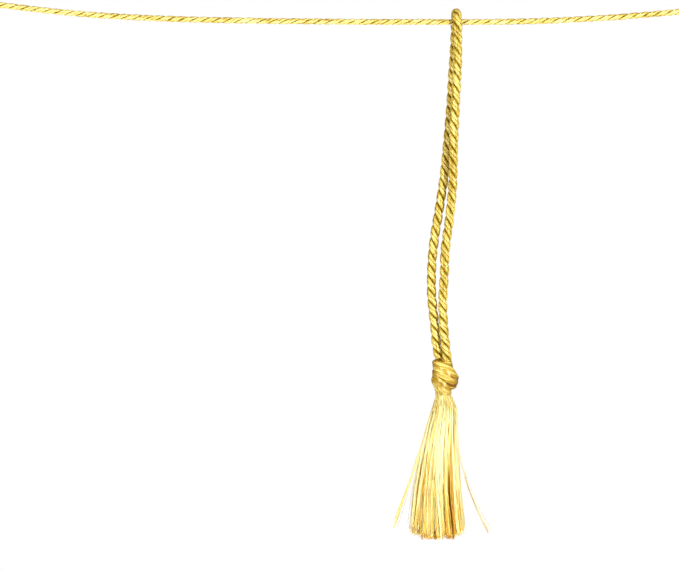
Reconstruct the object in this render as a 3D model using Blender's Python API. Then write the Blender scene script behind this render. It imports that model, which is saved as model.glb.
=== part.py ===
"""Silk tassel: a knotted skirt of silk on a loop of twisted cord, hung over a thin twisted line.

Metres, +Z up, seen from -Y. The origin is on the line's axis, where the loop crosses it.
"""

import math

import bmesh
import bpy
import numpy as np
from mathutils import Vector

MM = 0.001
GAP = 0.3 * MM
SHARP_ANGLE = 75.0

# Driving sizes of the two cords
CORD_DIAMETER = 2.8 * MM
CORD_PITCH = 7.2 * MM
CORD_STEPS_PER_PITCH = 9
LINE_DIAMETER = 1.83 * MM
LINE_PITCH = 6.67 * MM
LINE_STEPS_PER_PITCH = 6

# Driving heights of the tassel
KNOT_CENTRE = Vector((-3.25 * MM, 0.0, -104.4 * MM))
THROAT_END = -122.0 * MM
SKIRT_END = -153.1 * MM

# Two-ply section: (degrees, share of the radius), deep where the plies meet
CORD_SECTION = (
    (0, 1.0), (50, 0.93), (90, 0.64), (130, 0.93),
    (180, 1.0), (230, 0.93), (270, 0.64), (310, 0.93),
)
LINE_SECTION = ((0, 1.0), (62, 0.84), (118, 0.84), (180, 1.0), (242, 0.84), (298, 0.84))

# The loop's centreline in mm, up the back leg, over the line and down the front leg
LOOP_ROUTE = (
    (-5.16, 1.00, -98.38), (-5.75, 1.00, -95.20), (-6.34, 1.05, -89.30), (-6.93, 1.10, -83.40),
    (-7.23, 1.15, -77.50), (-7.08, 1.20, -70.70), (-6.20, 1.30, -62.80), (-4.72, 1.45, -53.90),
    (-3.25, 1.65, -43.60), (-2.07, 1.90, -31.80), (-1.18, 2.20, -20.00), (-0.59, 2.48, -9.70),
    (-0.20, 2.62, -3.20), (-0.12, 2.62, 0.00), (-0.08, 2.27, 1.31), (-0.04, 1.31, 2.27),
    (0.00, 0.00, 2.62), (0.08, -1.31, 2.27), (0.16, -2.27, 1.31), (0.24, -2.62, 0.00),
    (0.30, -2.62, -3.20), (0.30, -2.48, -11.20), (-0.15, -2.18, -21.50), (-0.59, -1.92, -30.30),
    (-0.89, -1.70, -40.70), (-1.18, -1.52, -49.50), (-2.07, -1.36, -58.40), (-3.25, -1.24, -67.20),
    (-3.54, -1.16, -74.90), (-3.98, -1.10, -82.50), (-3.84, -1.05, -87.90), (-3.25, -1.00, -94.60),
    (-2.80, -1.00, -98.38),
)

# The line's centreline in mm, left to right, lowest where the loop hangs
LINE_ROUTE = (
    (-146.3, 0.0, 6.65), (-134.5, 0.0, 5.05), (-118.0, 0.0, 3.10), (-101.5, 0.0, 1.72),
    (-78.5, 0.0, 0.78), (-52.0, 0.0, 0.30), (-25.4, 0.0, 0.08), (0.0, 0.0, 0.00),
    (13.0, 0.0, 0.08), (23.9, 0.0, 0.32), (33.6, 0.0, 0.70), (44.0, 0.0, 1.26),
    (54.3, 0.0, 2.02), (65.8, 0.0, 3.05), (77.6, 0.0, 4.22),
)

# Wraps of the tassel's knot in mm: turns past the front crossing, height from the knot's centre,
# distance out from its axis, and thickness as a radius
KNOT_WRAPS = (
    (-0.85, 4.2, 1.0, 1.45), (-0.50, 3.5, 1.4, 1.75), (-0.25, 2.7, 1.6, 1.95), (0.00, 1.5, 1.6, 2.25),
    (0.25, -1.2, 2.3, 1.85), (0.50, -1.5, 1.8, 1.80), (0.75, -1.2, 1.7, 1.85), (1.00, -3.5, 1.2, 1.70),
    (1.25, -4.5, 0.7, 1.45), (1.50, -4.8, 0.6, 1.35),
)
# Core of that knot in mm: height, sideways shift of the axis, radius
KNOT_CORE = (
    (5.5, -0.75, 2.4), (3.0, -0.3, 2.5), (0.0, 0.1, 2.4), (-3.5, -0.5, 2.5), (-6.2, -0.45, 2.15),
)
KNOT_LEVELS = 24
KNOT_SECTORS = 28

# Wraps and core of the small knots in the line's ends, the same columns
END_WRAPS = (
    (-0.75, 1.5, 0.5, 0.70), (-0.25, 0.9, 0.9, 0.95), (0.25, -0.1, 1.1, 0.95),
    (0.75, -1.1, 0.8, 0.85), (1.10, -1.7, 0.4, 0.60),
)
END_CORE = ((2.2, 0.0, 0.8), (0.0, 0.0, 1.0), (-2.2, 0.0, 0.7))
END_LEVELS = 10
END_SECTORS = 12
END_KNOT_GAP = 1.4 * GAP

# Height of a wrap's section against its thickness, pressed flat by the turns beside it
WRAP_SPREAD = 1.35
# How finely a knot's strand is followed, and a route's spans
STRAND_SAMPLES = 120
SPAN_SAMPLES = 24

# The skirt's outline in mm: height, centre, half width, half depth
SKIRT_OUTLINE = (
    (-110.9, -3.70, 2.10, 2.05), (-112.3, -3.40, 3.05, 2.85), (-114.5, -3.50, 3.95, 3.60),
    (-117.4, -4.05, 4.45, 4.05), (-122.0, -4.60, 5.20, 4.70), (-126.8, -5.10, 5.90, 5.20),
    (-138.0, -5.60, 7.10, 6.10), (-149.8, -5.30, 8.10, 6.90), (-153.1, -5.10, 8.30, 7.00),
)
# Locks in a square grid that is rounded to the outline and turned
LOCKS_ACROSS = 12
GRID_TURN = 19.0
ROUNDING = 0.82
LOCK_INSET = 0.14 * MM
LOCK_SEGMENTS = 4
LOCK_TIP_WIDTH = 0.52 * MM
LOCK_UNEVEN = 1.6 * MM

# Clumps that the locks draw together into: spot on the unit disc, seen from above, and how far above
# the skirt's end it is cut, in mm
CLUMPS = (
    (-0.82, -0.42, 3.6), (-0.42, -0.80, 0.9), (0.12, -0.93, 0.6), (0.80, -0.48, 1.6), (0.93, 0.12, 2.2),
    (-0.96, 0.10, 1.2), (-0.48, -0.22, 0.3), (0.02, -0.42, 1.2), (0.45, -0.22, 0.4), (-0.62, 0.62, 2.0),
    (-0.12, 0.90, 0.8), (0.45, 0.78, 1.8), (0.86, 0.52, 0.7), (-0.15, 0.25, 0.1), (0.40, 0.30, 1.4),
)
# Shares of the skirt's half width: how far locks draw together, bow and stir, and how deep ridges are
CLUMP_DRAW_IN = 0.26
CLUMP_BOW = 0.014
LOCK_STIR = 0.010
THROAT_RIDGE_DEPTH = 0.035
THROAT_RIDGES = 11
# How late the locks draw together on their way down
DRAW_LATE = 1.25

# The silk parts lower and higher round the rim: share of the unevenness, waves round it, start
SPLIT_UNEVEN = 2.2 * MM
SPLIT_WAVES = ((0.6, 3.0, 1.0), (0.4, 7.0, 0.0))
SKIRT_SEED = 7

# Locks that stray from the rim: degrees round the skirt's axis, reach of the tip from it and its
# height in mm
STRAYS = (
    (199.0, 12.0, -147.0), (19.0, 13.2, -151.0), (154.0, 12.4, -150.0),
    (64.0, 11.6, -148.5), (289.0, 9.8, -151.5),
)

CORD_GOLD = (0.66, 0.45, 0.10)
KNOT_GOLD = (0.70, 0.49, 0.12)
SKIRT_GOLD = (0.86, 0.67, 0.22)
LINE_GOLD = (0.72, 0.53, 0.17)
CORD_ROUGHNESS = 0.38
KNOT_ROUGHNESS = 0.34
SKIRT_ROUGHNESS = 0.30
LINE_ROUGHNESS = 0.40


def clear_scene():
    """Take out whatever the file opened with."""
    for obj in list(bpy.data.objects):
        bpy.data.objects.remove(obj, do_unlink=True)


def silk(name, colour, roughness):
    """A plain silk material."""
    material = bpy.data.materials.new(name)
    material.use_nodes = True
    shader = material.node_tree.nodes["Principled BSDF"]
    shader.inputs["Base Color"].default_value = (*colour, 1.0)
    shader.inputs["Roughness"].default_value = roughness
    shader.inputs["Metallic"].default_value = 0.0
    material.diffuse_color = (*colour, 1.0)
    return material


def finished(name, bm, material):
    """Turn a closed bmesh into a smooth-shaded object of the scene."""
    bmesh.ops.recalc_face_normals(bm, faces=bm.faces)
    mesh = bpy.data.meshes.new(name)
    bm.to_mesh(mesh)
    bm.free()
    mesh.materials.append(material)
    mesh.shade_smooth()
    mesh.set_sharp_from_angle(angle=math.radians(SHARP_ANGLE))
    obj = bpy.data.objects.new(name, mesh)
    bpy.context.scene.collection.objects.link(obj)
    return obj


def smooth_path(route, spacing):
    """Points a spacing apart on a smooth curve through a route given in mm."""
    knots = np.array([route[0], *route, route[-1]], dtype=float) * MM
    fine = []
    for p0, p1, p2, p3 in zip(knots, knots[1:], knots[2:], knots[3:]):
        slope = p2 - p0
        turn = 2.0 * p0 - 5.0 * p1 + 4.0 * p2 - p3
        swing = -p0 + 3.0 * p1 - 3.0 * p2 + p3
        for t in np.linspace(0.0, 1.0, SPAN_SAMPLES, endpoint=False):
            fine.append(0.5 * (2.0 * p1 + slope * t + turn * t**2 + swing * t**3))
    fine = np.array([*fine, knots[-1]])
    along = np.concatenate([[0.0], np.cumsum(np.linalg.norm(np.diff(fine, axis=0), axis=1))])
    even = np.linspace(0.0, along[-1], round(along[-1] / spacing) + 1)
    return [Vector(p) for p in np.stack([np.interp(even, along, fine[:, k]) for k in range(3)], axis=1)]


def tube(rings):
    """A closed tube through rings of points, capped at both ends."""
    bm = bmesh.new()
    loops = [[bm.verts.new(p) for p in ring] for ring in rings]
    count = len(loops[0])
    for one, two in zip(loops, loops[1:]):
        for k in range(count):
            bm.faces.new((one[k], one[(k + 1) % count], two[(k + 1) % count], two[k]))
    bm.faces.new(loops[0][::-1])
    bm.faces.new(loops[-1])
    return bm


def twisted_cord(name, route, diameter, pitch, steps_per_pitch, section, material):
    """A cord whose two plies show as lobes that wind left-handed along it."""
    path = smooth_path(route, pitch / steps_per_pitch)
    tangents = [(b - a).normalized() for a, b in zip([path[0], *path[:-1]], [*path[1:], path[-1]])]
    tangents[0] = (path[1] - path[0]).normalized()
    side = tangents[0].orthogonal().normalized()
    rings = []
    travelled = 0.0
    for index, (point, tangent) in enumerate(zip(path, tangents)):
        if index:
            travelled += (point - path[index - 1]).length
            side = tangents[index - 1].rotation_difference(tangent) @ side
        side = (side - tangent * side.dot(tangent)).normalized()
        across = tangent.cross(side)
        wind = -2.0 * math.pi * travelled / pitch
        ring = []
        for degrees, share in section:
            angle = math.radians(degrees) + wind
            ring.append(point + (side * math.cos(angle) + across * math.sin(angle)) * share * diameter / 2.0)
        rings.append(ring)
    return finished(name, tube(rings), material)


def column(rows, index, at):
    """Read one column of a table at a height, between its rows."""
    table = sorted(rows)
    return float(np.interp(at, [row[0] for row in table], [row[index] for row in table]))


def wound_knot(name, centre, up, right, wraps, core, levels, sectors, material):
    """A knot as the outer form of a thick strand wound down round a core."""
    turns = np.linspace(wraps[0][0], wraps[-1][0], STRAND_SAMPLES)
    followed = [row[0] for row in wraps]
    height, out, thick = (np.interp(turns, followed, [row[k] for row in wraps]) for k in (1, 2, 3))
    angle = 2.0 * math.pi * turns - math.pi / 2.0
    balls = np.stack([out * np.cos(angle), out * np.sin(angle), height], axis=1)
    ahead = up.cross(right)
    rings = []
    for level in np.linspace(core[0][0], core[-1][0], levels):
        shift, radius = column(core, 1, level), column(core, 2, level)
        ring = []
        for sector in range(sectors):
            theta = 2.0 * math.pi * sector / sectors
            ray = np.array([math.cos(theta), math.sin(theta)])
            nearest = balls[:, :2] @ ray
            off_ray = (balls[:, :2] ** 2).sum(axis=1) - nearest**2
            slack = thick**2 - ((level - balls[:, 2]) / WRAP_SPREAD) ** 2 - off_ray
            reach = np.where(slack > 0.0, nearest + np.sqrt(np.maximum(slack, 0.0)), 0.0)
            wide = max(radius, float(reach.max()))
            place = right * (wide * ray[0] + shift) + ahead * wide * ray[1] + up * level
            ring.append(centre + place * MM)
        rings.append(ring)
    return finished(name, tube(rings), material)


def outline(height):
    """The skirt's centre, half width and half depth in metres at a height in metres."""
    return [column(SKIRT_OUTLINE, k, height / MM) * MM for k in (1, 2, 3)]


def in_skirt(spot, height):
    """Where a spot of the unit disc lies in the skirt at a height."""
    centre, wide, deep = outline(height)
    return Vector((centre + spot[0] * wide, spot[1] * deep, height))


def disc_spot(u, v):
    """Map a point of the square from -1 to 1 onto a slightly square disc, evenly, and turn it."""
    x = u * math.sqrt(1.0 - ROUNDING * v * v / 2.0)
    y = v * math.sqrt(1.0 - ROUNDING * u * u / 2.0)
    turn = math.radians(GRID_TURN)
    return np.array([x * math.cos(turn) - y * math.sin(turn), x * math.sin(turn) + y * math.cos(turn)])


def ridged(spot):
    """Move a spot near the rim in or out, for the ridges of silk down the throat."""
    ridge = math.cos(THROAT_RIDGES * math.atan2(spot[1], spot[0]))
    return spot * (1.0 + THROAT_RIDGE_DEPTH * ridge * math.hypot(*spot) ** 4)


def split_height(spot):
    """Height at which the silk parts into locks, uneven round the rim."""
    turn = math.atan2(spot[1], spot[0])
    wave = sum(share * math.sin(waves * turn + start) for share, waves, start in SPLIT_WAVES)
    return THROAT_END + SPLIT_UNEVEN * wave * math.hypot(*spot) ** 2


def throat(bm):
    """The silk held together under the knot, closed below by a grid with a face for each lock.

    Returns each of those faces with its spot on the unit disc.
    """
    bmesh.ops.create_grid(bm, x_segments=LOCKS_ACROSS, y_segments=LOCKS_ACROSS, size=1.0)
    roots = list(bm.faces)
    rim = [edge for edge in bm.edges if edge.is_boundary]
    spot_of = {vert: disc_spot(vert.co.x, vert.co.y) for vert in bm.verts}
    for vert, spot in spot_of.items():
        vert.co = in_skirt(ridged(spot), split_height(spot))
    for height in sorted(row[0] * MM for row in SKIRT_OUTLINE if row[0] * MM > THROAT_END):
        lower = {vert for edge in rim for vert in edge.verts}
        made = bmesh.ops.extrude_edge_only(bm, edges=rim)["geom"]
        for vert in (item for item in made if isinstance(item, bmesh.types.BMVert)):
            spot_of[vert] = spot_of[min(lower, key=lambda low: (low.co - vert.co).length)]
        for vert in (item for item in made if isinstance(item, bmesh.types.BMVert)):
            vert.co = in_skirt(ridged(spot_of[vert]), height)
        rim = [item for item in made if isinstance(item, bmesh.types.BMEdge) and item.is_boundary]
    bmesh.ops.contextual_create(bm, geom=rim)
    return {face: sum(spot_of[vert] for vert in face.verts) / len(face.verts) for face in roots}


def grow_lock(bm, face, start, end, tip_height, bow):
    """Extrude one lock from its root to its tip, moving over the unit disc from start to end."""
    root = face.calc_center_median()
    corners = [loop.vert.co - root for loop in face.loops]
    size = sum(corner.length for corner in corners) / len(corners)
    narrow = min(LOCK_TIP_WIDTH / math.sqrt(2.0) / size, 1.0)
    for step in range(1, LOCK_SEGMENTS + 1):
        share = step / LOCK_SEGMENTS
        spot = start + (end - start) * share**DRAW_LATE + bow * math.sin(math.pi * share)
        middle = in_skirt(spot, root.z + (tip_height - root.z) * share)
        face = bmesh.ops.extrude_discrete_faces(bm, faces=[face])["faces"][0]
        for loop, corner in zip(face.loops, corners):
            flat = Vector((corner.x, corner.y, corner.z * (1.0 - share**2)))
            loop.vert.co = middle + flat * (1.0 + (narrow - 1.0) * share)


def skirt(name, material):
    """The skirt: locks of silk that stand apart below the throat that holds their roots."""
    rng = np.random.default_rng(SKIRT_SEED)
    bm = bmesh.new()
    roots = throat(bm)
    bmesh.ops.inset_individual(bm, faces=list(roots), thickness=LOCK_INSET, depth=0.0)
    clumps = [np.array(clump[:2]) for clump in CLUMPS]
    bows = rng.uniform(-CLUMP_BOW, CLUMP_BOW, (len(CLUMPS), 2))
    ends, heights = {}, {}
    for face, spot in roots.items():
        clump = int(np.argmin([np.linalg.norm(spot - middle) for middle in clumps]))
        drawn = clumps[clump] + (spot - clumps[clump]) * (1.0 - CLUMP_DRAW_IN)
        ends[face] = (drawn + rng.uniform(-LOCK_STIR, LOCK_STIR, 2), bows[clump])
        heights[face] = SKIRT_END + CLUMPS[clump][2] * MM + rng.uniform(0.0, LOCK_UNEVEN)
    for degrees, reach, height in STRAYS:
        aim = np.array([math.cos(math.radians(degrees)), math.sin(math.radians(degrees))])
        stray = max(roots, key=lambda face: float(roots[face] @ aim))
        _, wide, deep = outline(height * MM)
        outward = roots[stray] / math.hypot(*roots[stray])
        ends[stray] = (outward * 2.0 * reach * MM / (wide + deep), np.zeros(2))
        heights[stray] = height * MM
    for face, spot in roots.items():
        end, bow = ends[face]
        grow_lock(bm, face, spot, end, heights[face], bow)
    return finished(name, bm, material)


def build():
    """Model every piece of the tassel and of the line that it hangs over."""
    clear_scene()
    cord_silk = silk("cord_silk", CORD_GOLD, CORD_ROUGHNESS)
    knot_silk = silk("knot_silk", KNOT_GOLD, KNOT_ROUGHNESS)
    skirt_silk = silk("skirt_silk", SKIRT_GOLD, SKIRT_ROUGHNESS)
    line_silk = silk("line_silk", LINE_GOLD, LINE_ROUGHNESS)
    up, right = Vector((0.0, 0.0, 1.0)), Vector((1.0, 0.0, 0.0))
    twisted_cord(
        "loop_cord", LOOP_ROUTE, CORD_DIAMETER, CORD_PITCH, CORD_STEPS_PER_PITCH, CORD_SECTION, cord_silk
    )
    twisted_cord("line", LINE_ROUTE, LINE_DIAMETER, LINE_PITCH, LINE_STEPS_PER_PITCH, LINE_SECTION, line_silk)
    wound_knot("knot", KNOT_CENTRE, up, right, KNOT_WRAPS, KNOT_CORE, KNOT_LEVELS, KNOT_SECTORS, knot_silk)
    skirt("skirt", skirt_silk)
    reach = END_CORE[0][0] * MM + END_KNOT_GAP
    for name, at, before in (
        ("line_knot_left", LINE_ROUTE[0], LINE_ROUTE[1]),
        ("line_knot_right", LINE_ROUTE[-1], LINE_ROUTE[-2]),
    ):
        end, inner = Vector(at) * MM, Vector(before) * MM
        outward = (end - inner).normalized()
        wound_knot(
            name, end + outward * reach, outward, up, END_WRAPS, END_CORE, END_LEVELS, END_SECTORS, line_silk
        )


build()
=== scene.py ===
"""Looks of a silk tassel on its loop of twisted cord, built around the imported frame.

Metres, +Z up, seen from -Y. The loop hangs over the line at the origin.
"""

import logging
import math
from dataclasses import dataclass, field
from enum import Enum
from typing import Callable, Sequence

import bmesh
import bpy
import numpy as np
from bpy.types import ID, Material, Mesh, Node, NodeSocket, NodeTree, Object
from bmesh.types import BMesh, BMVert
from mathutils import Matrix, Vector, noise


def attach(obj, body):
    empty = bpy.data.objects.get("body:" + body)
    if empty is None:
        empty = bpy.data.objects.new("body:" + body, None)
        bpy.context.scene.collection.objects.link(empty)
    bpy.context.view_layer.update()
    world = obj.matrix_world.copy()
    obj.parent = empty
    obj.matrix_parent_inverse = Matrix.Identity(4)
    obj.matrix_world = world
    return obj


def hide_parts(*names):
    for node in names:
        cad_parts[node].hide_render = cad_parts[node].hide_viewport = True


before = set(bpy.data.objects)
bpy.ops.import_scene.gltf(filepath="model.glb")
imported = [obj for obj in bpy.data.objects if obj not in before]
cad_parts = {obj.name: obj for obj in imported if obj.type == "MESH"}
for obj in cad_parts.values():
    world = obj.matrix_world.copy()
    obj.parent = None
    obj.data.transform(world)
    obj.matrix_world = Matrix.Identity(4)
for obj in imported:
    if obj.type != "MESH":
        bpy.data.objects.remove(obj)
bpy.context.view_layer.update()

MM = 0.001
LOG = logging.getLogger("tassel")

Array = np.ndarray
Colour = tuple[float, float, float]
Table = Sequence[Sequence[float]]

# Routes of the two cords' centrelines in mm, as the solids have them
LOOP_ROUTE = (
    (-5.16, 1.00, -98.38), (-5.75, 1.00, -95.20), (-6.34, 1.05, -89.30), (-6.93, 1.10, -83.40),
    (-7.23, 1.15, -77.50), (-7.08, 1.20, -70.70), (-6.20, 1.30, -62.80), (-4.72, 1.45, -53.90),
    (-3.25, 1.65, -43.60), (-2.07, 1.90, -31.80), (-1.18, 2.20, -20.00), (-0.59, 2.48, -9.70),
    (-0.20, 2.62, -3.20), (-0.12, 2.62, 0.00), (-0.08, 2.27, 1.31), (-0.04, 1.31, 2.27),
    (0.00, 0.00, 2.62), (0.08, -1.31, 2.27), (0.16, -2.27, 1.31), (0.24, -2.62, 0.00),
    (0.30, -2.62, -3.20), (0.30, -2.48, -11.20), (-0.15, -2.18, -21.50), (-0.59, -1.92, -30.30),
    (-0.89, -1.70, -40.70), (-1.18, -1.52, -49.50), (-2.07, -1.36, -58.40), (-3.25, -1.24, -67.20),
    (-3.54, -1.16, -74.90), (-3.98, -1.10, -82.50), (-3.84, -1.05, -87.90), (-3.25, -1.00, -94.60),
    (-2.80, -1.00, -98.38),
)
LINE_ROUTE = (
    (-146.3, 0.0, 6.65), (-134.5, 0.0, 5.05), (-118.0, 0.0, 3.10), (-101.5, 0.0, 1.72),
    (-78.5, 0.0, 0.78), (-52.0, 0.0, 0.30), (-25.4, 0.0, 0.08), (0.0, 0.0, 0.00),
    (13.0, 0.0, 0.08), (23.9, 0.0, 0.32), (33.6, 0.0, 0.70), (44.0, 0.0, 1.26),
    (54.3, 0.0, 2.02), (65.8, 0.0, 3.05), (77.6, 0.0, 4.22),
)


class Place(Enum):
    """Where round the skirt a piece of it lies."""

    FRONT = "front"
    BACK = "back"
    HEART = "heart"
    STRAYS = "strays"


# Node groups and finishes


def new_group(name: str, inputs: dict[str, str], outputs: dict[str, str]) -> NodeTree:
    """Start a shader node group with named sockets.

    Args:
        name: name of the group.
        inputs: kind of socket by input name.
        outputs: kind of socket by output name.

    Returns:
        The group, with its input and output nodes in place.
    """
    group = bpy.data.node_groups.new(name, "ShaderNodeTree")
    for label, kind in inputs.items():
        group.interface.new_socket(label, in_out="INPUT", socket_type="NodeSocket" + kind)
    for label, kind in outputs.items():
        group.interface.new_socket(label, in_out="OUTPUT", socket_type="NodeSocket" + kind)
    group.nodes.new("NodeGroupInput").name = "In"
    group.nodes.new("NodeGroupOutput").name = "Out"
    return group


def add_node(
    tree: NodeTree, kind: str, inputs: dict | None = None, **settings: object
) -> Node:
    """Add a node, make its settings and fill its inputs.

    Args:
        tree: the node tree.
        kind: the node's type.
        inputs: a value, or a socket to link, for each input by name or index.
        settings: properties of the node.

    Returns:
        The node.
    """
    node = tree.nodes.new(kind)
    for key, value in settings.items():
        setattr(node, key, value)
    for key, value in (inputs or {}).items():
        if isinstance(value, NodeSocket):
            tree.links.new(value, node.inputs[key])
        else:
            node.inputs[key].default_value = value
    return node


def math_node(tree: NodeTree, operation: str, *values: object) -> NodeSocket:
    """Join two sockets or numbers by a math operation."""
    return add_node(tree, "ShaderNodeMath", dict(enumerate(values)), operation=operation).outputs[0]


def fibre_streaks_group() -> NodeTree:
    """Streaks that run along fibres, fine ones on broad ones.

    Returns:
        A group with a streak mask and a height.
    """
    group = new_group(
        "fibre_streaks",
        {"Vector": "Vector", "Across": "Float", "Along": "Float"},
        {"Streak": "Float", "Height": "Float"},
    )
    given, result = group.nodes["In"].outputs, group.nodes["Out"].inputs
    across, along = given["Across"], given["Along"]
    stretch = add_node(group, "ShaderNodeCombineXYZ", {"X": across, "Y": across, "Z": along})
    scaled = add_node(
        group, "ShaderNodeVectorMath", {0: given["Vector"], 1: stretch.outputs[0]}, operation="MULTIPLY"
    )
    fine = {"Scale": 1.0, "Detail": 3.0, "Roughness": 0.6}
    broad = {"Scale": 0.27, "Detail": 1.0}
    layers = []
    for streaks, weight in ((fine, 0.55), (broad, 0.45)):
        texture = add_node(group, "ShaderNodeTexNoise", {"Vector": scaled.outputs[0], **streaks})
        layers.append(math_node(group, "MULTIPLY", texture.outputs["Fac"], weight))
    both = math_node(group, "ADD", *layers)
    spread = add_node(
        group, "ShaderNodeMapRange", {"Value": both, "From Min": 0.34, "From Max": 0.66}, clamp=True
    )
    group.links.new(spread.outputs[0], result["Streak"])
    group.links.new(both, result["Height"])
    return group


def silk_tone_group() -> NodeTree:
    """Colour of dyed silk between a deep, a body and a pale tone.

    Returns:
        A group that mixes the three by a shade and a streak mask.
    """
    group = new_group(
        "silk_tone",
        {
            "Deep": "Color", "Body": "Color", "Pale": "Color",
            "Shade": "Float", "Streak": "Float", "Streakiness": "Float",
        },
        {"Color": "Color"},
    )
    given, result = group.nodes["In"].outputs, group.nodes["Out"].inputs
    lean = math_node(group, "SUBTRACT", given["Streak"], 0.5)
    lean = math_node(group, "MULTIPLY", lean, given["Streakiness"])
    tone = math_node(group, "ADD", given["Shade"], lean)
    colour = given["Deep"]
    for label, start in (("Body", 0.0), ("Pale", 0.5)):
        limits = {"From Min": start, "From Max": start + 0.5}
        factor = add_node(group, "ShaderNodeMapRange", {"Value": tone, **limits}, clamp=True)
        mixed = {"Factor": factor.outputs[0], "A": colour, "B": given[label]}
        colour = add_node(group, "ShaderNodeMix", mixed, data_type="RGBA").outputs["Result"]
    group.links.new(colour, result["Color"])
    return group


@dataclass(frozen=True)
class SilkFinish:
    """Dyed silk: three tones, its lustre and the scale of its fibre streaks."""

    name: str
    deep: Colour
    body: Colour
    pale: Colour
    roughness: tuple[float, float]
    streaks_across: float
    streaks_along: float
    streakiness: float
    relief: float
    specular: float = 0.5
    lay: str = ""
    gloss_tint: Colour = (1.0, 0.90, 0.52)

    def material(self) -> Material:
        """Build the finish, streaked along its fibres.

        Returns:
            The material.
        """
        material = bpy.data.materials.new(self.name)
        material.use_nodes = True
        tree, groups = material.node_tree, bpy.data.node_groups
        if self.lay:
            place = add_node(tree, "ShaderNodeAttribute", attribute_name=self.lay).outputs["Vector"]
        else:
            place = add_node(tree, "ShaderNodeTexCoord").outputs["Object"]
        streaks = add_node(
            tree, "ShaderNodeGroup",
            {"Vector": place, "Across": self.streaks_across, "Along": self.streaks_along},
            node_tree=groups["fibre_streaks"],
        ).outputs
        shade = add_node(tree, "ShaderNodeAttribute", attribute_name="shade").outputs["Fac"]
        tones = {"Deep": (*self.deep, 1.0), "Body": (*self.body, 1.0), "Pale": (*self.pale, 1.0)}
        tone = add_node(
            tree, "ShaderNodeGroup",
            {**tones, "Shade": shade, "Streak": streaks["Streak"], "Streakiness": self.streakiness},
            node_tree=groups["silk_tone"],
        )
        gloss = add_node(
            tree, "ShaderNodeMapRange",
            {"Value": streaks["Streak"], "To Min": self.roughness[1], "To Max": self.roughness[0]},
        )
        bump = add_node(
            tree, "ShaderNodeBump",
            {"Strength": 1.0, "Distance": self.relief, "Height": streaks["Height"]},
        )
        shader = tree.nodes["Principled BSDF"].inputs
        for node, label in ((tone, "Base Color"), (gloss, "Roughness"), (bump, "Normal")):
            tree.links.new(node.outputs[0], shader[label])
        shader["Specular IOR Level"].default_value = self.specular
        shader["Specular Tint"].default_value = (*self.gloss_tint, 1.0)
        return material


# The finishes' deep tones show where a piece's shade is low, which is partly random tone and partly painted
# shade in grooves, creases and deep in the skirt
CORD_SILK = SilkFinish(
    "cord_silk_plies", (0.11, 0.040, 0.001), (0.43, 0.31, 0.033), (0.86, 0.75, 0.26), roughness=(0.22, 0.38),
    streaks_across=5200.0, streaks_along=420.0, streakiness=0.75, relief=0.00007, specular=0.6, lay="lay",
)
LINE_SILK = SilkFinish(
    "line_silk_plies", (0.18, 0.11, 0.006), (0.60, 0.46, 0.090), (0.90, 0.82, 0.40), roughness=(0.24, 0.40),
    streaks_across=6200.0, streaks_along=500.0, streakiness=1.0, relief=0.00005, lay="lay",
)
LINE_KNOT_SILK = SilkFinish(
    "line_silk_knots", (0.24, 0.14, 0.008), (0.70, 0.54, 0.110), (0.94, 0.87, 0.42), roughness=(0.24, 0.40),
    streaks_across=5200.0, streaks_along=420.0, streakiness=0.8, relief=0.00005, lay="lay",
)
LINE_KNOT_FIBRES = SilkFinish(
    "line_silk_fibres", (0.34, 0.20, 0.012), (0.78, 0.61, 0.130), (0.95, 0.88, 0.42), roughness=(0.24, 0.40),
    streaks_across=1500.0, streaks_along=1500.0, streakiness=0.3, relief=0.00001,
)
KNOT_SILK = SilkFinish(
    "knot_silk_turns", (0.09, 0.024, 0.001), (0.41, 0.26, 0.022), (0.84, 0.73, 0.23), roughness=(0.20, 0.36),
    streaks_across=5600.0, streaks_along=380.0, streakiness=1.35, relief=0.00009, specular=0.6, lay="lay",
)
KNOT_FIBRES = SilkFinish(
    "knot_silk_fibres", (0.24, 0.10, 0.003), (0.58, 0.41, 0.058), (0.92, 0.84, 0.36), roughness=(0.22, 0.36),
    streaks_across=1500.0, streaks_along=1500.0, streakiness=0.35, relief=0.00001,
)
SKIRT_SILK = SilkFinish(
    "skirt_silk_filaments", (0.60, 0.25, 0.006), (0.90, 0.65, 0.100), (0.99, 0.95, 0.56),
    roughness=(0.20, 0.34), streaks_across=1400.0, streaks_along=120.0, streakiness=0.35, relief=0.00001,
    specular=0.42,
)


# Shared shaping tools


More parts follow.
